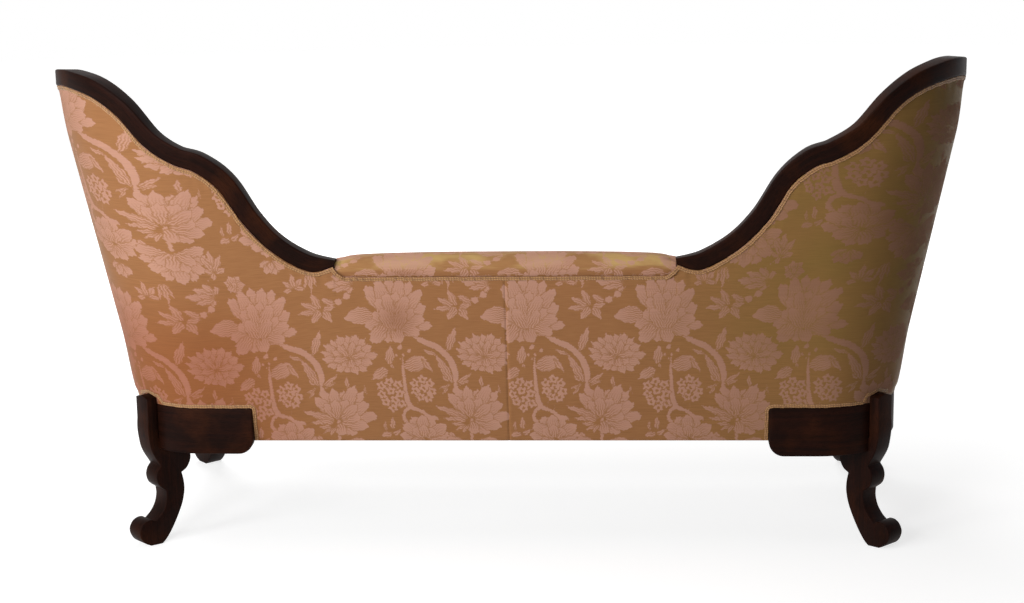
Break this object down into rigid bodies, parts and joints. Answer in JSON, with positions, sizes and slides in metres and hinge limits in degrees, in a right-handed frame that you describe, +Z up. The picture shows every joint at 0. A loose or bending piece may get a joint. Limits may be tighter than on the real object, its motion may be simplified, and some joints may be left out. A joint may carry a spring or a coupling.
{
  "type": "fainting couch",
  "caption": "Double-ended fainting couch with a low padded back, high curved ends, a carved wood crest rail, show-wood corner blocks and sawn scroll legs.",
  "frame": {"origin": "on the floor, under the middle of the couch's bounding box", "axes": "+X along the couch, +Y towards its back, the side that the picture shows, +Z up"},
  "size_m": [1.7964, 0.762, 0.9641],
  "materials": {
    "mahogany": "dark French-polished mahogany",
    "frame_wood": "raw sawn hardwood",
    "damask": "rose floral damask on a golden tan satin ground",
    "gimp": "woven gold gimp braid",
    "jute": "coarse jute",
    "dust_cloth": "thin black cambric",
    "spring_steel": "coppered spring wire",
    "bolt_steel": "plain steel"
  },
  "bodies": {
    "root": {"back_seat_rail": "frame_wood", "front_seat_rail": "frame_wood", "end_seat_rail_l": "frame_wood", "end_seat_rail_r": "frame_wood", "rear_corner_block_l": "mahogany", "rear_corner_block_r": "mahogany", "front_corner_block_l": "mahogany", "front_corner_block_r": "mahogany", "rear_corner_brace_l": "frame_wood", "rear_corner_brace_r": "frame_wood", "front_corner_brace_l": "frame_wood", "front_corner_brace_r": "frame_wood", "rear_leg_l": "mahogany", "rear_leg_r": "mahogany", "front_leg_l": "mahogany", "front_leg_r": "mahogany", "rear_leg_bolt_l": "bolt_steel", "rear_leg_bolt_r": "bolt_steel", "front_leg_bolt_l": "bolt_steel", "front_leg_bolt_r": "bolt_steel", "crest_back_l": "mahogany", "crest_back_r": "mahogany", "crest_corner_l": "mahogany", "crest_corner_r": "mahogany", "crest_end_l": "mahogany", "crest_end_r": "mahogany", "crest_scroll_l": "mahogany", "crest_scroll_r": "mahogany", "back_top_rail": "frame_wood", "back_tack_rail": "frame_wood", "back_post_l": "frame_wood", "back_post_r": "frame_wood", "corner_post_l": "frame_wood", "corner_post_r": "frame_wood", "end_post_l": "frame_wood", "end_post_r": "frame_wood", "outside_cover_l": "damask", "outside_cover_r": "damask", "front_border": "damask", "inside_back_pad": "damask", "inside_end_pad_l": "damask", "inside_end_pad_r": "damask", "back_roll": "damask", "seat_pad": "damask", "seat_burlap": "jute", "seat_springs": "spring_steel", "seat_webbing": "jute", "dust_cover": "dust_cloth", "crest_gimp_l": "gimp", "crest_gimp_r": "gimp", "roll_gimp": "gimp", "rear_block_gimp_l": "gimp", "rear_block_gimp_r": "gimp", "front_block_gimp_l": "gimp", "front_block_gimp_r": "gimp"}
  },
  "joints": []
}
